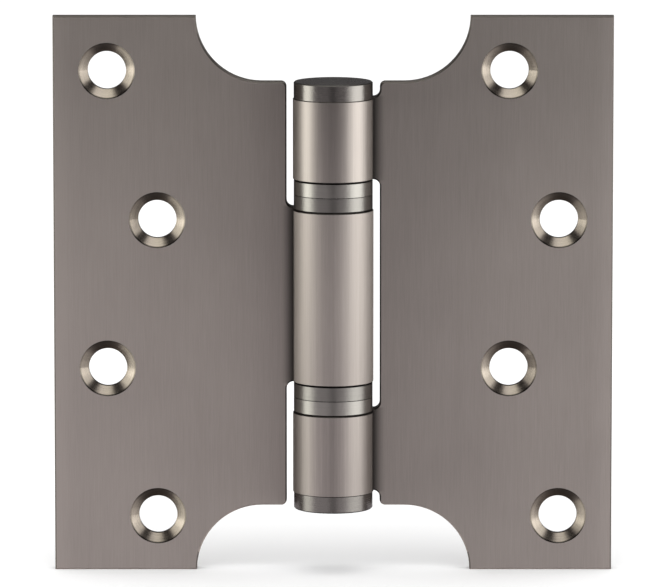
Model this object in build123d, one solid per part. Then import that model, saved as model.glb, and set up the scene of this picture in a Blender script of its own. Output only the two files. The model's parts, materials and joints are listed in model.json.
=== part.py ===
from build123d import *

import os
from math import asin, cos, degrees, pi, radians, sin, tan

# Parliament hinge: two flat scalloped leaves, rolled knuckles and two thrust ball bearings, shown wide open.
# Millimetres. The pin axis is Z, mid-height is Z = 0 and the countersunk fronts of the leaves face -Y.
# The frame leaf is on the right (+X) and carries the outer knuckles, the door leaf is on the left (-X).

# Leaves
leaf_width = 51.0  # from the pin axis to the outer edge
leaf_height = 102.0
sheet = 3.0  # thickness of the sheet that a leaf is cut and rolled from
closed_gap = 2.0  # between the two fronts when the hinge is shut
lug_width = 26.0  # full-height outer strip that takes the screws
scallop_radius = 12.0  # quarter circle that steps the lug down to the shoulder
shoulder_corner = 1.0  # rounded end of the shoulder
notch_corner = 1.2  # inside corner where a neck leaves the inner edge
edge_break = 0.25  # chamfer on the cut edges of the sheet

# Screw holes, staggered between two columns
screw_rows = 4
screw_row_margin = 10.0  # from the top or bottom edge to the nearest row
screw_edge_margin = 9.8  # from the outer edge to the outer column
screw_stagger = 9.1  # between the two columns
screw_bore = 7.0
countersink_diameter = 10.3
countersink_angle = 90.0

# Pin and rolled knuckles
pin_diameter = 8.6
pin_clearance = 0.05  # radial, in the knuckles
pin_end_gap = 0.3  # between the pin's end and a cap's spigot
pin_chamfer = 0.6
outer_knuckle = 15.1  # length of each of the frame leaf's knuckles
barrel_setback = 2.75  # from the shoulder to the end of the outer knuckle
leaf_clearance = 1.15  # between the barrel and the inner edge of a leaf
swage_radius = 1.75  # inside radius of the bend that brings the sheet behind the pin
seam_gap = 0.2  # between the rolled end of the sheet and the front of the leaf
bearing_break = 0.4  # chamfer on a knuckle's round end beside a bearing
cap_break = 0.15  # and under a cap

# Caps
cap_thickness = 3.0
cap_inset = 0.15  # how much smaller in radius caps and bearings are than the knuckles
cap_chamfer = 0.2
spigot_length = 4.5
spigot_clearance = 0.02

# Thrust bearings, each a full row of loose balls between two cupped races
bearing_height = 5.05
race_split = 0.12  # between the two races
race_clearance = 0.15  # radial, round the pin
race_rim = 0.45  # skirt that closes the ball track from outside
ball_count = 15
ball_clearance = 0.05  # all round a ball, in its track and beside its neighbours
ball_sides = 8  # flat facets round a ball, which keep a full row of them light
ball_bands = 6  # and from pole to pole

# Derived sizes
front_face = closed_gap / 2
back_face = front_face + sheet
bore_radius = pin_diameter / 2 + pin_clearance
barrel_radius = bore_radius + sheet
inner_edge = barrel_radius + leaf_clearance
shoulder = leaf_height / 2 - scallop_radius
barrel_end = shoulder - barrel_setback
bearing_top = barrel_end - outer_knuckle
middle_end = bearing_top - bearing_height
scallop_centre = leaf_width - lug_width - scallop_radius
outer_column = leaf_width - screw_edge_margin
inner_column = outer_column - screw_stagger
turned_radius = barrel_radius - cap_inset
race_bore = pin_diameter / 2 + race_clearance
track_outer = turned_radius - race_rim
pitch_radius = (race_bore + track_outer) / 2
ball_space = min(track_outer - race_bore, 2 * pitch_radius * sin(pi / ball_count))
ball_diameter = ball_space - 2 * ball_clearance

# Reverse bend from the flat leaf to the rolled ring. Both arcs touch on the ray at swage_angle.
sheet_middle = sheet / 2
swage_middle = swage_radius + sheet_middle
swage_reach = bore_radius + sheet_middle + swage_middle
swage_height = front_face + sheet_middle + swage_middle
swage_angle = degrees(asin(swage_height / swage_reach))
bend_start = swage_reach * cos(radians(swage_angle))
curl_end = degrees(asin((front_face - seam_gap) / barrel_radius))

same_length = 1e-4  # lengths that differ by less are one and the same


def near(value, target):
    """True where two lengths agree."""
    return abs(value - target) < same_length


def on_ray(radius, angle):
    """Point of the XY plane at a radius and an angle from the pin axis."""
    return (radius * cos(radians(angle)), radius * sin(radians(angle)))


def leaf_outline(knuckle_spans):
    """Front view of a leaf's flat sheet, from the bend at each neck to the outer edge."""
    width = leaf_width - inner_edge
    outline = Pos(inner_edge + width / 2, 0) * Rectangle(width, leaf_height)
    for end in (-1, 1):
        edge = end * leaf_height / 2
        outline -= Pos(scallop_centre, edge) * Circle(scallop_radius)
        outline -= Pos(scallop_centre, edge) * Rectangle(
            leaf_width, 2 * scallop_radius, align=(Align.MAX, Align.CENTER)
        )
    for low, high in knuckle_spans:
        outline += Pos(bend_start, low) * Rectangle(
            inner_edge - bend_start, high - low, align=Align.MIN
        )
    corners = outline.vertices().filter_by(lambda v: near(v.X, inner_edge)).sort_by(Axis.Y)
    outline = fillet([corners[0], corners[-1]], shoulder_corner)
    notches = outline.vertices().filter_by(lambda v: near(v.X, inner_edge))
    neck_ends = [z for span in knuckle_spans for z in span]
    notches = [v for v in notches if any(near(v.Y, z) for z in neck_ends)]
    return fillet(notches, notch_corner)


def screw_hole():
    """Countersunk hole, cut down from the front face at the local origin."""
    depth = (countersink_diameter - screw_bore) / 2 / tan(radians(countersink_angle / 2))
    top = (Align.CENTER, Align.CENTER, Align.MAX)
    bore = Cylinder(screw_bore / 2, sheet, align=top)
    return bore + Cone(screw_bore / 2, countersink_diameter / 2, depth, align=top)


def flat_sheet(knuckle_spans, columns):
    """Flat part of a leaf with broken edges and staggered screw holes."""
    plate = extrude(Plane.XZ.offset(-back_face) * leaf_outline(knuckle_spans), sheet)
    faces = plate.faces().filter_by(Axis.Y)
    rims = [e for f in faces for e in f.edges() if not near(e.center().X, bend_start)]
    plate = chamfer(rims, edge_break)
    top_row = leaf_height / 2 - screw_row_margin
    row_pitch = 2 * top_row / (screw_rows - 1)
    front = Plane.XZ.offset(-front_face)
    for row in range(screw_rows):
        column = columns[row % len(columns)]
        plate -= front * Pos(column, top_row - row * row_pitch) * screw_hole()
    return plate


def knuckle(low, high):
    """Sheet that bends back behind the pin and rolls round it to a seam at the leaf's front."""
    swage_centre = (bend_start, swage_height)
    bend = 90 - swage_angle
    roll = 360 + curl_end - swage_angle
    back = CenterArc(swage_centre, swage_radius, 270, -bend)
    outside = CenterArc((0, 0), barrel_radius, swage_angle, roll)
    seam = Line(on_ray(barrel_radius, curl_end), on_ray(bore_radius, curl_end))
    inside = CenterArc((0, 0), bore_radius, curl_end, -roll)
    front = CenterArc(swage_centre, swage_radius + sheet, 270 - bend, bend)
    start = Line((bend_start, front_face), (bend_start, back_face))
    section = make_face([back, outside, seam, inside, front, start])
    rolled = extrude(Pos(0, 0, low) * section, high - low, dir=(0, 0, 1))
    for end in (low, high):
        arcs = rolled.faces().filter_by(Axis.Z).edges().filter_by(GeomType.CIRCLE)
        rims = [e for e in arcs if near(e.radius, barrel_radius) and near(e.center().Z, end)]
        rolled = chamfer(rims, cap_break if near(abs(end), barrel_end) else bearing_break)
    return rolled


def leaf(knuckle_spans, columns):
    """A leaf with its knuckles, drawn on the right of the pin."""
    body = flat_sheet(knuckle_spans, columns)
    for low, high in knuckle_spans:
        body += knuckle(low, high)
    return body


def hinge_pin():
    """Plain pin that ends just short of the caps' spigots."""
    half_length = barrel_end - spigot_length - pin_end_gap
    pin = Cylinder(pin_diameter / 2, 2 * half_length)
    return chamfer(pin.edges().filter_by(GeomType.CIRCLE), pin_chamfer)


def top_cap():
    """Turned cap that closes the barrel, with a spigot in the knuckle's bore."""
    disc = Pos(0, 0, barrel_end) * Cylinder(
        turned_radius, cap_thickness, align=(Align.CENTER, Align.CENTER, Align.MIN)
    )
    rims = disc.edges().filter_by(GeomType.CIRCLE).sort_by(Axis.Z)
    disc = chamfer(rims[-1], cap_chamfer)
    spigot = Pos(0, 0, barrel_end) * Cylinder(
        bore_radius - spigot_clearance, spigot_length, align=(Align.CENTER, Align.CENTER, Align.MAX)
    )
    return disc + spigot


def upper_race():
    """Upper ring of a bearing whose middle is at the local origin, cupped over the balls."""
    low = race_split / 2
    high = bearing_height / 2
    track = ball_diameter / 2 + ball_clearance
    section = Polyline(
        (race_bore, high),
        (race_bore, track),
        (track_outer, track),
        (track_outer, low),
        (turned_radius, low),
        (turned_radius, high),
        close=True,
    )
    return revolve(Plane.XZ * make_face(section), Axis.Z)


def ball():
    """Steel ball with its poles on Z, in flat facets."""

    def corner(side, band):
        reach, height = on_ray(ball_diameter / 2, 180 * band / ball_bands - 90)
        return (*on_ray(reach, 360 * side / ball_sides), height)

    facets = []
    for side in range(ball_sides):
        for band in range(ball_bands):
            corners = [corner(side, band), corner(side, band + 1)]
            if band < ball_bands - 1:
                corners.append(corner(side + 1, band + 1))
            if band > 0:
                corners.append(corner(side + 1, band))
            facets.append(Face(Wire.make_polygon(corners)))
    return Solid(Shell(facets))


def bearing(name, middle):
    """Every piece of the bearing whose middle lies at the given height, by name."""
    place = Pos(0, 0, middle)
    race = upper_race()
    pieces = {
        f"{name}_bearing_upper_race": place * race,
        f"{name}_bearing_lower_race": place * mirror(race, about=Plane.XY),
    }
    for number, ball_place in enumerate(PolarLocations(pitch_radius, ball_count), start=1):
        pieces[f"{name}_ball_{number}"] = place * ball_place * ball()
    return pieces


def hinge():
    """Every piece of the hinge, by name."""
    outer_spans = [(-barrel_end, -bearing_top), (bearing_top, barrel_end)]
    middle_span = [(-middle_end, middle_end)]
    bearing_middle = (middle_end + bearing_top) / 2
    cap = top_cap()
    pieces = {
        "frame_leaf": leaf(outer_spans, (inner_column, outer_column)),
        "door_leaf": mirror(leaf(middle_span, (outer_column, inner_column)), about=Plane.YZ),
        "hinge_pin": hinge_pin(),
        "top_cap": cap,
        "bottom_cap": mirror(cap, about=Plane.XY),
    }
    pieces.update(bearing("upper", bearing_middle))
    pieces.update(bearing("lower", -bearing_middle))
    return pieces


os.makedirs("parts", exist_ok=True)
for node, piece in hinge().items():
    export_step(piece, f"parts/{node}.step")
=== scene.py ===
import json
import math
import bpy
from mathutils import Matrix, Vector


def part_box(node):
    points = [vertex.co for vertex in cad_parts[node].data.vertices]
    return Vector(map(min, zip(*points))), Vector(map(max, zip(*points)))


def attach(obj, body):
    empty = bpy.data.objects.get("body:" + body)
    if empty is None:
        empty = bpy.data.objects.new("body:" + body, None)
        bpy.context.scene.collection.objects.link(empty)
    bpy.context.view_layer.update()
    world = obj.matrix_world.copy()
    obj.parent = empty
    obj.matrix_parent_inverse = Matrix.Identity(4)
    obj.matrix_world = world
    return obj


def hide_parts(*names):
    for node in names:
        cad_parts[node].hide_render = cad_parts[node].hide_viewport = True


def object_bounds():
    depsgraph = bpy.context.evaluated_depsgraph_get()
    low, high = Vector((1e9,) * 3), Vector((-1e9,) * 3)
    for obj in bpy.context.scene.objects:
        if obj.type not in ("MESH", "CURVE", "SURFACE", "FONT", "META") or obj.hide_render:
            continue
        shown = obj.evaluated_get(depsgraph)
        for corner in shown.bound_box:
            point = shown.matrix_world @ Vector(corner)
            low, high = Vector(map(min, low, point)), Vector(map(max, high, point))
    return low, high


bl_info = {
    "name": "Parliament hinge",
    "version": (1, 0, 0),
    "blender": (4, 5, 0),
    "location": "3D View > Sidebar > Hinge",
    "description": "Brushed leaves, turned caps and bearings, and a small studio for a parliament hinge",
    "category": "Object",
}

import bmesh
import bpy
from bpy.props import FloatProperty, FloatVectorProperty, PointerProperty
from mathutils import Vector

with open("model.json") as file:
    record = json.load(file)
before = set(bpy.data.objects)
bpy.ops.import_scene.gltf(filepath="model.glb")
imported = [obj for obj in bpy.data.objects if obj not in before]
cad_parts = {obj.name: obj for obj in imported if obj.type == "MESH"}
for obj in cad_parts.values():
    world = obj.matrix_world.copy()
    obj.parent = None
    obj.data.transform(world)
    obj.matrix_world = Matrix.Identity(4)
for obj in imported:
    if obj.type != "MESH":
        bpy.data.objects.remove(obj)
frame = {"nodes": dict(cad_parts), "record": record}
cad_low, cad_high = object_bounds()

# Metres. The pin axis is Z, the countersunk fronts of the leaves face -Y and the frame leaf is on +X.
MILLIMETRE = 0.001

# Pieces
LEAVES = ("frame_leaf", "door_leaf")
CAPS = ("top_cap", "bottom_cap")
OUTER_RACES = ("upper_bearing_upper_race", "lower_bearing_lower_race")  # beside the frame leaf's knuckles
INNER_RACES = ("upper_bearing_lower_race", "lower_bearing_upper_race")  # beside the door leaf's knuckle
RACES = OUTER_RACES + INNER_RACES
BALLS = tuple(sorted(name for name in frame["nodes"] if "_ball_" in name))
PIN = "hinge_pin"
BALL_SUBDIVISIONS = 3

# Sizes of the hinge
BARREL_RADIUS = -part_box("frame_leaf")[0].y
FRONT_FACE = 1.0 * MILLIMETRE  # depth of the leaves' fronts behind the pin axis
EDGE_BREAK = 0.25 * MILLIMETRE
COUNTERSINK_DEPTH = 1.65 * MILLIMETRE
SCREW_ROWS = 4
SCREW_MARGIN = 10.0 * MILLIMETRE  # from the top or bottom edge to the nearest row
SCREW_PITCH = (cad_high.z - cad_low.z - 2 * SCREW_MARGIN) / (SCREW_ROWS - 1)
SCREWS_START = 2 * BARREL_RADIUS  # every screw hole lies farther out than this
KNUCKLE_REACH = BARREL_RADIUS + 1.0 * MILLIMETRE  # and every knuckle with its bend nearer than this
CAP_THICKNESS = 3.0 * MILLIMETRE
BEARING_TOP = max(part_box(name)[1].z for name in RACES)
MIDDLE_END = min(abs(z) for name in RACES for z in (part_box(name)[0].z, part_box(name)[1].z))
BARREL_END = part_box("top_cap")[1].z - CAP_THICKNESS
KNUCKLE_SPANS = {"frame_leaf": (BEARING_TOP, BARREL_END), "door_leaf": (-MIDDLE_END, MIDDLE_END)}
LEAF_SIDES = {"frame_leaf": 1.0, "door_leaf": -1.0}

# How a face lies, by its normal's share along an axis
SQUARE = 0.99  # more than this where it is square to the axis
EDGE_ON = 0.05  # less than this where it runs along the axis
SLANT_LOW = 0.2  # a broken edge lies between these two
SLANT_HIGH = 0.95
CONE_LOW = 0.6  # and a countersink's cone between these
CONE_HIGH = 0.8
JUST_OVER = 1.1  # share of a depth that is surely more than it
JUST_UNDER = 0.9  # and one that is nearly all of it

# Finishes. Lengths are millimetres, and marks are counted in a millimetre along X, Y and Z.
# A spread is how far a colour goes darker and lighter, a swing how far a value goes up and down in all.
# A ramp is given as from, to and the value at either end, and a relief as its depth and strength.
GRAZING_TINT = (0.55, 0.55, 0.55, 1.0)  # plated and cut metal stays dull where it is seen edge-on
ALONG_AXIS = 0.25  # a quarter turn, which draws a reflection out along the pin instead of round it
CRISP = (3.0, 0.6)  # detail and roughness of fine, hard marks

# Brushed plating of the leaves
BRUSH_LENGTH = 5.0
BROAD_STREAKS = (2.4, 2.4, 0.025)
PLATING_CLOUDS = (0.05, 0.05, 0.04)
PLATING_SPREAD = 0.18
BRUSH_SWING = 0.8
CLOUD_SWING = 0.5
FLAT_STREAK_SWING = 0.2
KNUCKLE_STREAK_SWINGS = {"frame_leaf": 0.9, "door_leaf": 0.6}
LEAF_TONES = {"frame_leaf": 0.12, "door_leaf": 0.47}  # from the darkest to the lightest plating
OUTWARD_PAINTED_LIGHT = (10.0, 50.0, 0.0, 0.24)  # painted light: lighter from the barrel to the outer edge
OUTER_STRIP_LIGHT_WIDTH = 4.5  # strip along the outer edge with painted light, lighter still
OUTER_STRIP_LIGHT_TONE = 0.33
BRUSH_ROUGHNESS_SWING = 0.10
CLOUD_ROUGHNESS_SWING = 0.06
BRUSH_RELIEF_SHARE = 0.6  # the broad streaks have the rest
BRUSH_RELIEF = (0.02 * MILLIMETRE, 0.3)

# Painted shade in the crease where the sheet bends back into a knuckle
CREASE_START = (-0.35, -0.05, 0.0, 1.0)  # distance out from the barrel's side
CREASE_FINISH = (-0.6, 2.3, 1.0, 0.0)
CREASE_DEPTH = (1.5, 2.5, 1.0, 0.0)  # distance behind the pin axis
CREASE_END = 0.5  # how far it fades out past a knuckle's ends
CREASE_SHADE_TONE = 0.06

# Edges of the sheet: tone against the edge colour, and roughness. Upper and side edges and the knuckles'
# ends are painted darker as painted shade, lower edges lighter as painted light
EDGES = {
    "sheared edge": (1.0, 0.5),
    # painted shade on the upper and side edges
    "upper edge": (0.5, 0.5),
    "side edge": (0.7, 0.5),
    # painted light on the lower edges
    "lower edge": (3.6, 0.85),
    # painted shade on the knuckles' ends, for the shade in the joints beside them
    "knuckle end": (0.25, 0.5),
}
DRAG_MARKS = (5.0, 0.35, 5.0)
DRAG_NOISE = (3.0, 0.65)
DRAG_SHARE = 0.6  # the mottle has the rest
EDGE_MOTTLE = (0.7, 0.7, 0.7)
EDGE_SPREAD = 0.3
EDGE_ROUGHNESS_SWING = 0.2
EDGE_RELIEF = (0.05 * MILLIMETRE, 0.4)

# Cut countersinks
CUT_ROUGHNESS = 0.23
CUT_ROUGHNESS_SWING = 0.15
CUT_SPREAD = 0.3
RING_WAVER = 0.25  # how fast a cutting ring changes on its way round
RIM_DEPTH = (0.1, 0.34, 1.0, 0.0)  # the rim of painted shade, by the depth below the leaf's front
RIM_HEIGHT = (-3.5, 1.5, 1.0, 0.35)  # and by the height above the screw's middle
CUT_RIM_SHADE_TONE = 0.12
RING_DEPTH = 0.02
CONE_TILT = 0.3  # the cone is shaded as if it were a little flatter
CUT_RELIEF = (MILLIMETRE, 0.5)

# Turned caps, races and pin
TOOL_WAVER = 0.15  # how fast a tool mark changes on its way round
TOOL_SHARE = 0.6  # the clouds have the rest
TURNED_CLOUDS = (0.4, 0.4, 0.25)
TURNED_GRAIN = (2.2, 2.2, 1.2)
TURNED_SPREAD = 0.22
TOOL_ROUGHNESS_SWING = 0.12
TURNED_CLOUD_SWING = 0.08
TOOL_DEPTH = 0.3  # against the grain's
TURNED_RELIEF = (0.05 * MILLIMETRE, 0.35)
TURNED_RIM_SHADE_TONE = 0.35  # painted shade on the broken rims, against the caps' colour
TURNED_RIM_ROUGHNESS = 0.5
PIN_ROUGHNESS = 0.3

# Polished balls
SCRATCHES = (9.0, 9.0, 9.0)
SCRATCH_NOISE = (4.0, 0.7)
SCRATCH_SPREAD = 0.1
SCRATCH_ROUGHNESS_SWING = 0.1
SCRATCH_RELIEF = (0.005 * MILLIMETRE, 0.2)
BALL_ROUGHNESS = 0.15

# Studio
SENSOR_WIDTH = 36.0  # millimetres, as a camera's sensor is given
CAMERA_CLIP = 20.0
WHITE = (1.0, 1.0, 1.0, 1.0)
FLOOR_HALF = 6.0
FLOOR_GRAIN = (30.0, 30.0, 30.0)  # marks in a metre
FLOOR_DETAIL = 3.0
FLOOR_SPREAD = 0.01
LAMP_SIZE = 1.2
LAMP_PLACE = (0.0, -0.3, 1.4)
ROOM_SEGMENTS = 64
ROOM_RINGS = 32

# Grey cards that the metal reflects. Turns go to the right from the camera and heights up from the horizon,
# in degrees. A band is given as from, to and soft edge, a ramp as from, to and the level at either end.
HORIZON = (-2.2, 1.2, 0.0, 1.0)
TABLE_LEVELS = (-22.0, -3.0, 0.9, 0.79)
TABLE_EDGE = (-38.0, -24.0, 0.0, 1.0)
UNDERSIDE_LEVELS = (-74.0, -52.0, 0.17, 0.5)
WALL_LEVEL = 0.31
FRONT_TURNS = (-55.0, 50.0, 15.0)
FRONT_DIMMING = (5.0, 14.0, 0.24, 0.08)
SIDE_TURNS = (-110.0, 110.0, 20.0)  # outside these lies the wall behind the hinge
BACK_HEIGHTS = (2.0, 40.0, 4.0)
BACK_DIMMING = 0.13
CAMERA_TURNS = (-7.0, 6.0, 7.0)
CAMERA_FOOT = (-1.2, 0.9, 0.46, 0.97)
CAMERA_HEAD = (9.0, 17.0, 1.0, 0.2)
GAP_TURNS_LEFT = (-98.0, -46.0, 12.0)  # dark gaps over the strip lights
GAP_TURNS_RIGHT = (46.0, 98.0, 12.0)
GAP_HEIGHTS = (40.0, 60.0, 8.0)
GAP_DIMMING = 0.75

# Lights that the metal reflects, given in the same way
LEFT_STRIP_OUTSIDE = (-104.0, -88.0, 0.0, 1.0)
LEFT_STRIP_INSIDE = (-78.0, -52.0, 1.0, 0.0)
LEFT_STRIP_LEVELS = (-13.0, -1.0, 0.39, 1.18)
RIGHT_STRIP_INSIDE = (34.0, 68.0, 0.0, 1.0)
RIGHT_STRIP_OUTSIDE = (84.0, 122.0, 1.0, 0.0)
RIGHT_STRIP_LEVELS = (-16.0, -1.0, 0.33, 1.05)
RIGHT_STRIP_LEAN = 0.6  # turn towards the camera for each degree below the horizon
STRIP_TOP = (6.0, 14.0, 1.0, 0.65)
STRIP_HEIGHTS = (-50.0, 27.0, 11.0)
OVERHEAD_HEIGHTS = (64.0, 91.0, 8.0)
OVERHEAD_LEVEL = 0.7
CARD_TINT = (1.02, 0.98, 0.995, 1.0)
LEFT_TINT = (0.965, 0.99, 0.912, 1.0)
RIGHT_TINT = (0.962, 0.985, 0.945, 1.0)
TINT_TURNS = (-30.0, 30.0, 0.0, 1.0)
TINT_GAIN = 2.5  # how soon a faint light takes its own tint


class Shade:
    """A socket of a node tree, or the tree alone. Arithmetic on it adds Math nodes."""

    def __init__(self, tree, socket=None):
        self.tree = tree
        self.socket = socket

    def node(self, kind, settings=None, sockets=None, output=0):
        """Adds a node: its settings first, then the values or links of its sockets."""
        made = self.tree.nodes.new(kind)
        for name, value in (settings or {}).items():
            setattr(made, name, value)
        for name, value in (sockets or {}).items():
            if isinstance(value, Shade):
                self.tree.links.new(value.socket, made.inputs[name])
            else:
                made.inputs[name].default_value = value
        return Shade(self.tree, made.outputs[output] if made.outputs else None)

    def math(self, operation, *values):
        """What a Math node makes of the values."""
        return self.node("ShaderNodeMath", {"operation": operation}, dict(enumerate(values)))

    def __add__(self, other):
        return self.math("ADD", self, other)

    __radd__ = __add__

    def __sub__(self, other):
        return self.math("SUBTRACT", self, other)

    def __rsub__(self, other):
        return self.math("SUBTRACT", other, self)

    def __mul__(self, other):
        return self.math("MULTIPLY", self, other)

    __rmul__ = __mul__

    def __truediv__(self, other):
        return self.math("DIVIDE", self, other)

    def __rtruediv__(self, other):
        return self.math("DIVIDE", other, self)

    def place(self):
        """Point of the surface, in metres."""
        return self.node("ShaderNodeTexCoord", output="Object")

    def stretch(self, scales):
        """The vector multiplied by a scale for each axis."""
        return self.node("ShaderNodeVectorMath", {"operation": "MULTIPLY"}, {0: self, 1: scales})

    def scaled(self, factor):
        """The colour or vector multiplied by one value."""
        return self.node("ShaderNodeVectorMath", {"operation": "SCALE"}, {0: self, "Scale": factor})

    def length(self):
        """The vector's length."""
        return self.node("ShaderNodeVectorMath", {"operation": "LENGTH"}, {0: self}, output="Value")

    def direction(self):
        """The vector at a length of one."""
        return self.node("ShaderNodeVectorMath", {"operation": "NORMALIZE"}, {0: self})

    def split(self):
        """The vector's three values."""
        parts = self.node("ShaderNodeSeparateXYZ", sockets={0: self}).socket.node
        return [Shade(self.tree, part) for part in parts.outputs]

    def join(self, x, y, z):
        """A vector of three values."""
        return self.node("ShaderNodeCombineXYZ", sockets={0: x, 1: y, 2: z})

    def noise(self, detail=2.0, roughness=0.5):
        """Noise from 0 to 1 at the vector."""
        sockets = {"Vector": self, "Scale": 1.0, "Detail": detail, "Roughness": roughness}
        return self.node("ShaderNodeTexNoise", {"noise_dimensions": "3D"}, sockets)

    def swing(self, amount):
        """A value that runs from 0 to 1, brought to a swing of the amount about zero."""
        return (self - 0.5) * amount

    def ramp(self, low, high, start=0.0, end=1.0):
        """Smooth change from start to end as the value goes from low to high."""
        sockets = {"Value": self, 1: low, 2: high, 3: start, 4: end}
        return self.node("ShaderNodeMapRange", {"interpolation_type": "SMOOTHSTEP"}, sockets)

    def band(self, low, high, edge):
        """One between low and high, fading to zero over the edge outside them."""
        return self.ramp(low - edge, low) * self.ramp(high, high + edge, 1.0, 0.0)

    def fade(self, first, second):
        """The first value at zero and the second at one."""
        return first + (second - first) * self

    def mix(self, first, second):
        """The first colour at zero and the second at one."""
        settings = {"data_type": "RGBA", "clamp_factor": True}
        return self.node("ShaderNodeMix", settings, {0: self, 6: first, 7: second}, output=2)

    def tones(self, colour, spread):
        """The colour, darker by the spread at zero and lighter by it at one."""
        return self.mix(rgba(colour, 1.0 - spread), rgba(colour, 1.0 + spread))

    def bump(self, distance, strength):
        """Normal of a surface raised by the value times the distance."""
        sockets = {"Strength": strength, "Distance": distance, "Height": self}
        return self.node("ShaderNodeBump", sockets=sockets)


def toned(colour, gain):
    """A colour made lighter or darker by the gain."""
    return tuple(channel * gain for channel in colour)


def rgba(colour, gain):
    """The same, with full alpha."""
    return (*toned(colour, gain), 1.0)


def new_material(name):
    """An empty material and its tree."""
    material = bpy.data.materials.new(name)
    material.use_nodes = True
    material.node_tree.nodes.clear()
    return material, Shade(material.node_tree)


def metal(name, paint, rough, anisotropic=0.0, rotation=0.0):
    """A metal whose colour, roughness and normal come from paint(tree, place, mean roughness)."""
    material, tree = new_material(name)
    place = tree.place().stretch((1 / MILLIMETRE,) * 3)
    colour, roughness, normal = paint(tree, place, rough)
    sockets = {
        "Base Color": colour,
        "Metallic": 1.0,
        "Roughness": roughness,
        "Normal": normal,
        "Specular Tint": GRAZING_TINT,
        "Anisotropic": anisotropic,
        "Anisotropic Rotation": rotation,
    }
    surface = tree.node("ShaderNodeBsdfPrincipled", sockets=sockets)
    tree.node("ShaderNodeOutputMaterial", sockets={"Surface": surface})
    return material


def crease_shade_mask(out, depth, height, node):
    """Mask of the painted shade in the creases beside a leaf's knuckles: one there and zero elsewhere, by
    the place in millimetres.
    """
    low, high = (end / MILLIMETRE for end in KNUCKLE_SPANS[node])
    past = out - BARREL_RADIUS / MILLIMETRE
    beside = past.ramp(*CREASE_START) * past.ramp(*CREASE_FINISH)
    along = height.math("ABSOLUTE", height).band(low, high, CREASE_END)
    return beside * along * depth.ramp(*CREASE_DEPTH)


def brushed_paint(colour, line_pitch, node, streak_swing):
    """Long upright brush lines over faint clouds in the plating, painted light towards the outer edge, and
    painted shade in the crease by the knuckles.
    """
    outer_edge = cad_high.x / MILLIMETRE

    def paint(tree, place, rough):
        fine = place.stretch((1 / line_pitch, 1 / line_pitch, 1 / BRUSH_LENGTH)).noise(*CRISP)
        broad = place.stretch(BROAD_STREAKS).noise()
        clouds = place.stretch(PLATING_CLOUDS).noise()
        x, y, z = place.split()
        out = x * LEAF_SIDES[node]
        streak = fine.swing(BRUSH_SWING) + broad.swing(streak_swing) + clouds.swing(CLOUD_SWING)
        # painted light: the leaf grows lighter outwards and lighter still along its outer edge
        outer_strip_light = out.ramp(outer_edge - OUTER_STRIP_LIGHT_WIDTH, outer_edge, 0.0, OUTER_STRIP_LIGHT_TONE)
        lightness = streak + out.ramp(*OUTWARD_PAINTED_LIGHT) + (outer_strip_light + LEAF_TONES[node])
        tone = lightness.tones(colour, PLATING_SPREAD)
        # painted shade darkens the crease beside the knuckles
        tone = crease_shade_mask(out, y, z, node).mix(tone, rgba(colour, CREASE_SHADE_TONE))
        roughness = rough + fine.swing(BRUSH_ROUGHNESS_SWING) + clouds.swing(CLOUD_ROUGHNESS_SWING)
        relief = fine * BRUSH_RELIEF_SHARE + broad * (1.0 - BRUSH_RELIEF_SHARE)
        return tone, roughness, relief.bump(*BRUSH_RELIEF)

    return paint


def edge_paint(colour):
    """Sheared edge: short drag marks across the sheet and a mottled plating."""

    def paint(tree, place, rough):
        drag = place.stretch(DRAG_MARKS).noise(*DRAG_NOISE)
        mottle = place.stretch(EDGE_MOTTLE).noise()
        tone = (drag * DRAG_SHARE + mottle * (1.0 - DRAG_SHARE)).tones(colour, EDGE_SPREAD)
        roughness = rough + drag.swing(EDGE_ROUGHNESS_SWING)
        return tone, roughness, drag.bump(*EDGE_RELIEF)

    return paint


def turned_paint(colour, line_pitch):
    """Fine tool marks round the pin axis, on the sides and the ends alike."""

    def paint(tree, place, rough):
        x, y, z = place.split()
        across = (place.stretch((1.0, 1.0, 0.0)).length() + z) / line_pitch
        lines = tree.join(across, x * TOOL_WAVER, y * TOOL_WAVER).noise(*CRISP)
        clouds = place.stretch(TURNED_CLOUDS).noise()
        grain = place.stretch(TURNED_GRAIN).noise(*CRISP)
        tone = (lines * TOOL_SHARE + clouds * (1.0 - TOOL_SHARE)).tones(colour, TURNED_SPREAD)
        roughness = rough + lines.swing(TOOL_ROUGHNESS_SWING) + clouds.swing(TURNED_CLOUD_SWING)
        relief = lines * TOOL_DEPTH + grain
        return tone, roughness, relief.bump(*TURNED_RELIEF)

    return paint


def countersink_paint(colour, line_pitch):
    """Cutting rings that step down with the hole's depth, a rim of painted shade that is darkest below, and
    a flatter cone.
    """
    front = FRONT_FACE / MILLIMETRE
    pitch = SCREW_PITCH / MILLIMETRE

    def paint(tree, place, rough):
        x, y, z = place.split()
        lines = tree.join(y / line_pitch, x * RING_WAVER, z * RING_WAVER).noise(*CRISP)
        row = z / pitch + 0.5  # the rows lie half a pitch above and below the middle
        up = (row - row.math("ROUND", row)) * pitch
        # painted shade round the rim, strongest in its lower half
        rim = (y - front).ramp(*RIM_DEPTH) * up.ramp(*RIM_HEIGHT)
        tone = rim.mix(lines.tones(colour, CUT_SPREAD), rgba(colour, CUT_RIM_SHADE_TONE))
        roughness = rough + lines.swing(CUT_ROUGHNESS_SWING)
        relief = lines * RING_DEPTH + y * CONE_TILT
        return tone, roughness, relief.bump(*CUT_RELIEF)

    return paint


def polished_paint(colour):
    """Polished steel with fine scratches in every direction."""

    def paint(tree, place, rough):
        scratches = place.stretch(SCRATCHES).noise(*SCRATCH_NOISE)
        tone = scratches.tones(colour, SCRATCH_SPREAD)
        roughness = rough + scratches.swing(SCRATCH_ROUGHNESS_SWING)
        return tone, roughness, scratches.bump(*SCRATCH_RELIEF)

    return paint


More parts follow.
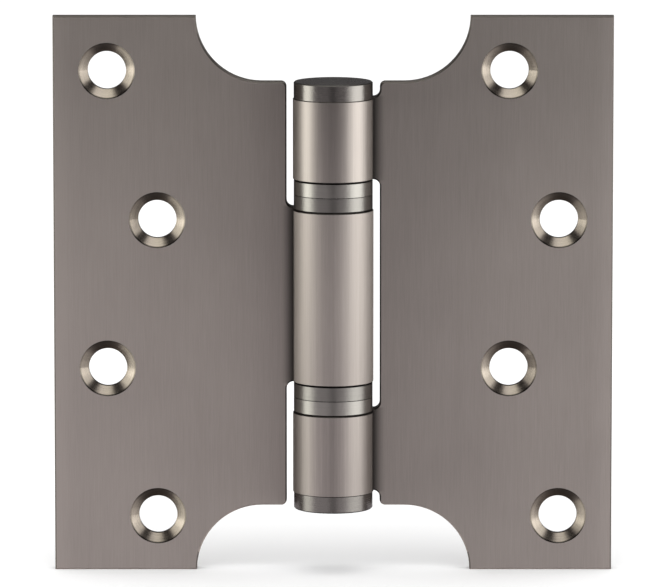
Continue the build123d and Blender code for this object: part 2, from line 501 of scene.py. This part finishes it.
class LeafFinish(bpy.types.PropertyGroup):
    """Colours and finish of the two leaves."""

    brushed: FloatVectorProperty(
        name="Brushed colour", description="Plated and brushed faces of the leaves and knuckles",
        subtype="COLOR", min=0.0, max=1.0, default=(0.32, 0.283, 0.268),
    )
    flat_roughness: FloatProperty(
        name="Flat roughness", description="Mean roughness of the flat brushed faces",
        min=0.0, max=1.0, default=0.46, subtype="FACTOR",
    )
    frame_knuckle_roughness: FloatProperty(
        name="Frame knuckle roughness", description="Mean roughness of the frame leaf's rolled knuckles",
        min=0.0, max=1.0, default=0.33, subtype="FACTOR",
    )
    door_knuckle_roughness: FloatProperty(
        name="Door knuckle roughness", description="Mean roughness of the door leaf's rolled knuckle",
        min=0.0, max=1.0, default=0.42, subtype="FACTOR",
    )
    brush_pull: FloatProperty(
        name="Brush pull", description="How far a reflection is drawn out across the brush lines",
        min=0.0, max=1.0, default=0.74, subtype="FACTOR",
    )
    brush_pitch: FloatProperty(
        name="Brush pitch", description="Distance between brush lines, in millimetres",
        min=0.02, max=2.0, default=0.12,
    )
    edge: FloatVectorProperty(
        name="Edge colour", description="Sheared edges of the sheet",
        subtype="COLOR", min=0.0, max=1.0, default=(0.152, 0.133, 0.125),
    )
    countersink: FloatVectorProperty(
        name="Countersink colour", description="Cut cones and bores of the screw holes",
        subtype="COLOR", min=0.0, max=1.0, default=(0.217, 0.185, 0.161),
    )
    ring_pitch: FloatProperty(
        name="Ring pitch", description="Distance between cutting rings in a countersink, in millimetres",
        min=0.02, max=2.0, default=0.14,
    )


class SteelFinish(bpy.types.PropertyGroup):
    """Colours and finish of caps, races, pin and balls."""

    cap: FloatVectorProperty(
        name="Cap colour", description="Turned end caps",
        subtype="COLOR", min=0.0, max=1.0, default=(0.178, 0.164, 0.157),
    )
    cap_roughness: FloatProperty(
        name="Cap roughness", description="Mean roughness of the caps",
        min=0.0, max=1.0, default=0.26, subtype="FACTOR",
    )
    cap_pull: FloatProperty(
        name="Cap pull", description="How far a reflection is drawn out across the caps' tool marks",
        min=0.0, max=1.0, default=0.3, subtype="FACTOR",
    )
    race: FloatVectorProperty(
        name="Race colour", description="Turned bearing races",
        subtype="COLOR", min=0.0, max=1.0, default=(0.259, 0.243, 0.231),
    )
    race_roughness: FloatProperty(
        name="Race roughness", description="Mean roughness of the bearing races",
        min=0.0, max=1.0, default=0.33, subtype="FACTOR",
    )
    race_pull: FloatProperty(
        name="Race pull", description="How far a reflection is drawn out across the races' tool marks",
        min=0.0, max=1.0, default=0.32, subtype="FACTOR",
    )
    # painted shade: the inner races are a darker copy of the race colour
    inner_race_shade: FloatProperty(
        name="Inner race tone",
        description="Races beside the door leaf's knuckle, as a share of the race colour",
        min=0.0, max=1.0, default=0.8, subtype="FACTOR",
    )
    tool_pitch: FloatProperty(
        name="Tool pitch", description="Distance between tool marks, in millimetres",
        min=0.02, max=2.0, default=0.11,
    )
    pin: FloatVectorProperty(
        name="Pin colour", description="Ground steel of the pin",
        subtype="COLOR", min=0.0, max=1.0, default=(0.40, 0.40, 0.39),
    )
    ball: FloatVectorProperty(
        name="Ball colour", description="Polished steel of the balls",
        subtype="COLOR", min=0.0, max=1.0, default=(0.55, 0.55, 0.54),
    )


class StudioSettings(bpy.types.PropertyGroup):
    """Camera, floor and light."""

    view_width: FloatProperty(
        name="View width", description="Width of the picture where the hinge stands",
        unit="LENGTH", min=0.01, default=0.1213,
    )
    view_centre: FloatVectorProperty(
        name="View centre", description="Point of the hinge that lies in the picture's middle",
        subtype="TRANSLATION", unit="LENGTH", size=3, default=(-0.00013, 0.0, 0.0003),
    )
    camera_distance: FloatProperty(
        name="Camera distance", description="From the camera to the hinge",
        unit="LENGTH", min=0.1, default=1.3,
    )
    camera_elevation: FloatProperty(
        name="Camera elevation", description="Angle of the camera above the horizon",
        subtype="ANGLE", default=math.radians(8.2),
    )
    floor: FloatVectorProperty(
        name="Floor colour", description="Plain pale floor",
        subtype="COLOR", min=0.0, max=1.0, default=(0.95, 0.95, 0.95),
    )
    room_radius: FloatProperty(
        name="Room radius", description="From the hinge to the cards that it reflects",
        unit="LENGTH", min=0.2, default=0.32,
    )
    softbox: FloatProperty(
        name="Softbox brightness",
        description="Brightness of the strip lights and the one overhead, where 1 is white",
        min=0.0, default=3.8,
    )
    lamp_power: FloatProperty(
        name="Lamp power", description="Power of the soft lamp overhead",
        unit="POWER", min=0.0, default=8.0,
    )


def sorted_faces(node, materials, choose):
    """Gives each face of a node the material that choose(face, mesh) names."""
    mesh = frame["nodes"][node].data
    mesh.materials.clear()
    names = list(materials)
    for name in names:
        mesh.materials.append(materials[name])
    for face in mesh.polygons:
        face.material_index = names.index(choose(face, mesh))


def slanted(share):
    """True for a face that is neither square to an axis nor along it, by its normal's share."""
    return SLANT_LOW < abs(share) < SLANT_HIGH


def broken_edge(upward):
    """Name of the broken edge whose normal has the given upward share."""
    if abs(upward) < SLANT_LOW:
        return "side edge"
    return "upper edge" if upward > 0.0 else "lower edge"


def leaf_surface(face, mesh):
    """Name of the surface of a leaf that a face belongs to."""
    depths = [mesh.vertices[v].co.y - FRONT_FACE for v in face.vertices]
    reach = abs(face.center.x)
    if abs(face.normal.y) > SQUARE and reach > BARREL_RADIUS:
        return "flat"
    if reach < KNUCKLE_REACH:
        return "knuckle" if abs(face.normal.z) < EDGE_ON else "knuckle end"
    cone = CONE_LOW < -face.normal.y < CONE_HIGH and max(depths) > JUST_OVER * EDGE_BREAK
    bore = abs(face.normal.y) < EDGE_ON and min(depths) > JUST_UNDER * COUNTERSINK_DEPTH
    if reach > SCREWS_START and (cone or bore):
        return "countersink"
    if slanted(face.normal.y):
        return broken_edge(face.normal.z)
    return "sheared edge"


def edge_metal(surface, colour):
    """Metal of one kind of edge."""
    # the tone carries the painted light and shade listed with the edges
    tone, rough = EDGES[surface]
    return metal(surface.replace(" ", "_"), edge_paint(toned(colour, tone)), rough)


class HINGE_OT_finish_leaves(bpy.types.Operator):
    """Brush the leaves and knuckles, and finish their edges and countersinks"""

    bl_idname = "hinge.finish_leaves"
    bl_label = "Finish leaves"

    def execute(self, context):
        look = context.scene.hinge_leaves
        shared = {surface: edge_metal(surface, look.edge) for surface in EDGES}
        cut = countersink_paint(look.countersink, look.ring_pitch)
        shared["countersink"] = metal("cut_countersink", cut, CUT_ROUGHNESS)
        knuckle_roughness = {
            "frame_leaf": look.frame_knuckle_roughness,
            "door_leaf": look.door_knuckle_roughness,
        }
        for node in LEAVES:
            flat = brushed_paint(look.brushed, look.brush_pitch, node, FLAT_STREAK_SWING)
            rolled = brushed_paint(look.brushed, look.brush_pitch, node, KNUCKLE_STREAK_SWINGS[node])
            rough = knuckle_roughness[node]
            surfaces = {
                "flat": metal(f"brushed_{node}", flat, look.flat_roughness, look.brush_pull),
                "knuckle": metal(f"brushed_knuckle_{node}", rolled, rough, look.brush_pull),
                **shared,
            }
            sorted_faces(node, surfaces, leaf_surface)
        return {"FINISHED"}


def turned_surface(face, mesh):
    """Name of the surface of a cap or race that a face belongs to."""
    return "rim" if slanted(face.normal.z) else "turned"


class HINGE_OT_finish_turned(bpy.types.Operator):
    """Turn the caps and the bearing races"""

    bl_idname = "hinge.finish_turned"
    bl_label = "Finish caps and races"

    def execute(self, context):
        look = context.scene.hinge_steel
        # the broken rims of caps and races are painted darker, as painted shade
        rim_shade_paint = turned_paint(toned(look.cap, TURNED_RIM_SHADE_TONE), look.tool_pitch)
        rim = metal("shaded_turned_rim", rim_shade_paint, TURNED_RIM_ROUGHNESS)
        # painted shade on the races beside the door leaf's knuckle
        inner = toned(look.race, look.inner_race_shade)
        finishes = {
            "turned_cap": (CAPS, look.cap, look.cap_roughness, look.cap_pull),
            "turned_outer_race": (OUTER_RACES, look.race, look.race_roughness, look.race_pull),
            "turned_inner_race": (INNER_RACES, inner, look.race_roughness, look.race_pull),
        }
        for name, (nodes, colour, rough, pull) in finishes.items():
            paint = turned_paint(colour, look.tool_pitch)
            material = metal(name, paint, rough, pull, ALONG_AXIS)
            for node in nodes:
                sorted_faces(node, {"turned": material, "rim": rim}, turned_surface)
        return {"FINISHED"}


class HINGE_OT_finish_pin(bpy.types.Operator):
    """Grind the pin"""

    bl_idname = "hinge.finish_pin"
    bl_label = "Finish pin"

    def execute(self, context):
        look = context.scene.hinge_steel
        material = metal("ground_pin", turned_paint(look.pin, look.tool_pitch), PIN_ROUGHNESS)
        sorted_faces(PIN, {"ground": material}, lambda face, mesh: "ground")
        return {"FINISHED"}


def new_object(name, making, material):
    """An object of the mesh in the making, in the scene."""
    mesh = bpy.data.meshes.new(name)
    making.to_mesh(mesh)
    making.free()
    mesh.materials.append(material)
    made = bpy.data.objects.new(name, mesh)
    bpy.context.scene.collection.objects.link(made)
    return made


def smooth_ball(node, material):
    """A true ball in place of a node's faceted one."""
    low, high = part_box(node)
    making = bmesh.new()
    bmesh.ops.create_icosphere(making, subdivisions=BALL_SUBDIVISIONS, radius=(high.z - low.z) / 2)
    for face in making.faces:
        face.smooth = True
    ball = new_object(f"{node}_round", making, material)
    ball.location = (low + high) / 2
    return ball


class HINGE_OT_make_balls(bpy.types.Operator):
    """Make the polished balls of both bearings"""

    bl_idname = "hinge.make_balls"
    bl_label = "Make balls"

    def execute(self, context):
        look = context.scene.hinge_steel
        material = metal("polished_ball", polished_paint(look.ball), BALL_ROUGHNESS)
        bodies = frame["record"]["behaviour"]["bodies"]
        for body, nodes in bodies.items():
            for node in nodes:
                if node in BALLS:
                    ball = smooth_ball(node, material)
                    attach(ball, body)
                    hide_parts(node)
        return {"FINISHED"}


def floor_material(colour):
    """Matt paper, a little uneven."""
    material, tree = new_material("pale_floor")
    grain = tree.place().stretch(FLOOR_GRAIN).noise(FLOOR_DETAIL)
    surface = tree.node("ShaderNodeBsdfDiffuse", sockets={"Color": grain.tones(colour, FLOOR_SPREAD)})
    tree.node("ShaderNodeOutputMaterial", sockets={"Surface": surface})
    return material


def grey_cards(turn, height):
    """Brightness of the pale table and the walls, dark round the camera and in the gaps over the strips."""
    front = turn.band(*FRONT_TURNS) * height.ramp(*FRONT_DIMMING)
    behind = (1.0 - turn.band(*SIDE_TURNS)) * height.band(*BACK_HEIGHTS) * BACK_DIMMING
    wall = WALL_LEVEL - front - behind
    grey = height.ramp(*HORIZON).fade(height.ramp(*TABLE_LEVELS), wall)
    grey = height.ramp(*TABLE_EDGE).fade(height.ramp(*UNDERSIDE_LEVELS), grey)
    camera = turn.band(*CAMERA_TURNS) * height.ramp(*CAMERA_FOOT) * height.ramp(*CAMERA_HEAD)
    gaps = turn.band(*GAP_TURNS_LEFT) + turn.band(*GAP_TURNS_RIGHT)
    gaps = gaps * height.band(*GAP_HEIGHTS) * GAP_DIMMING
    return grey * (1.0 - camera) * (1.0 - gaps)


def strip_lights(turn, height):
    """Brightness of an upright strip on either side, both dimmer below, and of the light overhead."""
    left = turn.ramp(*LEFT_STRIP_OUTSIDE) * turn.ramp(*LEFT_STRIP_INSIDE)
    left = left * height.ramp(*LEFT_STRIP_LEVELS)
    leaning = turn - height.math("MINIMUM", height, 0.0) * RIGHT_STRIP_LEAN
    right = leaning.ramp(*RIGHT_STRIP_INSIDE) * leaning.ramp(*RIGHT_STRIP_OUTSIDE)
    right = right * height.ramp(*RIGHT_STRIP_LEVELS)
    tall = height.ramp(*STRIP_TOP) * height.band(*STRIP_HEIGHTS)
    return (left + right) * tall + height.band(*OVERHEAD_HEIGHTS) * OVERHEAD_LEVEL


def room_material(brightness):
    """What the metal sees round it: two strip lights, one overhead and grey cards between them."""
    material, tree = new_material("reflection_cards")
    x, y, z = tree.place().direction().split()
    turn = x.math("ARCTAN2", x, 0.0 - y) * math.degrees(1.0)
    height = z.math("ARCSINE", z) * math.degrees(1.0)
    light = strip_lights(turn, height)
    lit = turn.ramp(*TINT_TURNS).mix(LEFT_TINT, RIGHT_TINT)
    tint = (light * TINT_GAIN).mix(CARD_TINT, lit)
    colour = tint.scaled(grey_cards(turn, height) + light * brightness)
    surface = tree.node("ShaderNodeEmission", sockets={"Color": colour, "Strength": 1.0})
    tree.node("ShaderNodeOutputMaterial", sockets={"Surface": surface})
    return material


def only_in_reflections(thing):
    """Leaves a thing to be seen in glossy surfaces alone."""
    thing.visible_camera = False
    thing.visible_diffuse = False
    thing.visible_transmission = False
    thing.visible_volume_scatter = False
    thing.visible_shadow = False


class HINGE_OT_set_studio(bpy.types.Operator):
    """Lay the floor, set the cards and light, and place the camera"""

    bl_idname = "hinge.set_studio"
    bl_label = "Set studio"

    def execute(self, context):
        look = context.scene.hinge_studio
        self.lay_floor(look)
        self.set_cards(look)
        self.hang_lamp(context, look)
        self.fill_world(context)
        self.place_camera(context, look)
        context.scene.view_settings.view_transform = "Standard"
        return {"FINISHED"}

    def lay_floor(self, look):
        """A wide sheet that the hinge stands on."""
        making = bmesh.new()
        bmesh.ops.create_grid(making, x_segments=1, y_segments=1, size=FLOOR_HALF)
        floor = new_object("floor", making, floor_material(look.floor))
        floor.location.z = cad_low.z
        floor.visible_glossy = False

    def set_cards(self, look):
        """A round room of cards and lights that only the metal sees."""
        making = bmesh.new()
        bmesh.ops.create_uvsphere(
            making, u_segments=ROOM_SEGMENTS, v_segments=ROOM_RINGS, radius=look.room_radius
        )
        cards = new_object("reflection_cards", making, room_material(look.softbox))
        only_in_reflections(cards)

    def hang_lamp(self, context, look):
        """A soft lamp overhead, which casts the shadow on the floor."""
        light = bpy.data.lights.new("overhead_lamp", "AREA")
        light.size = LAMP_SIZE
        light.energy = look.lamp_power
        lamp = bpy.data.objects.new("overhead_lamp", light)
        context.scene.collection.objects.link(lamp)
        lamp.location = LAMP_PLACE
        lamp.rotation_euler = Vector(LAMP_PLACE).to_track_quat("Z", "Y").to_euler()
        lamp.visible_glossy = False

    def fill_world(self, context):
        """Plain white all round."""
        world = bpy.data.worlds.new("white_room")
        context.scene.world = world
        world.use_nodes = True
        world.node_tree.nodes.clear()
        tree = Shade(world.node_tree)
        light = tree.node("ShaderNodeBackground", sockets={"Color": WHITE, "Strength": 1.0})
        tree.node("ShaderNodeOutputWorld", sockets={"Surface": light})

    def place_camera(self, context, look):
        """A long lens in front of the hinge and a little above it."""
        data = bpy.data.cameras.new("camera")
        data.sensor_width = SENSOR_WIDTH
        data.lens = SENSOR_WIDTH * look.camera_distance / look.view_width
        data.clip_end = CAMERA_CLIP
        camera = bpy.data.objects.new("camera", data)
        context.scene.collection.objects.link(camera)
        away = Vector((0.0, -math.cos(look.camera_elevation), math.sin(look.camera_elevation)))
        camera.location = Vector(look.view_centre) + away * look.camera_distance
        camera.rotation_mode = "QUATERNION"
        camera.rotation_quaternion = away.to_track_quat("Z", "Y")
        context.scene.camera = camera


class HINGE_PT_panel(bpy.types.Panel):
    """Every step of the hinge and its studio"""

    bl_label = "Parliament hinge"
    bl_idname = "HINGE_PT_panel"
    bl_space_type = "VIEW_3D"
    bl_region_type = "UI"
    bl_category = "Hinge"

    def draw(self, context):
        for step in STEPS:
            self.layout.operator(step.bl_idname)
        for name, group in GROUPS.items():
            box = self.layout.box()
            for setting in group.__annotations__:
                box.prop(getattr(context.scene, name), setting)


STEPS = (
    HINGE_OT_finish_leaves,
    HINGE_OT_finish_turned,
    HINGE_OT_finish_pin,
    HINGE_OT_make_balls,
    HINGE_OT_set_studio,
)
GROUPS = {"hinge_leaves": LeafFinish, "hinge_steel": SteelFinish, "hinge_studio": StudioSettings}


def register():
    for name, group in GROUPS.items():
        bpy.utils.register_class(group)
        setattr(bpy.types.Scene, name, PointerProperty(type=group))
    for step in STEPS:
        bpy.utils.register_class(step)
    bpy.utils.register_class(HINGE_PT_panel)


def unregister():
    bpy.utils.unregister_class(HINGE_PT_panel)
    for step in reversed(STEPS):
        bpy.utils.unregister_class(step)
    for name, group in GROUPS.items():
        delattr(bpy.types.Scene, name)
        bpy.utils.unregister_class(group)


def main():
    register()
    bpy.ops.hinge.finish_leaves()
    bpy.ops.hinge.finish_turned()
    bpy.ops.hinge.finish_pin()
    bpy.ops.hinge.make_balls()
    bpy.ops.hinge.set_studio()


if __name__ == "__main__":
    main()
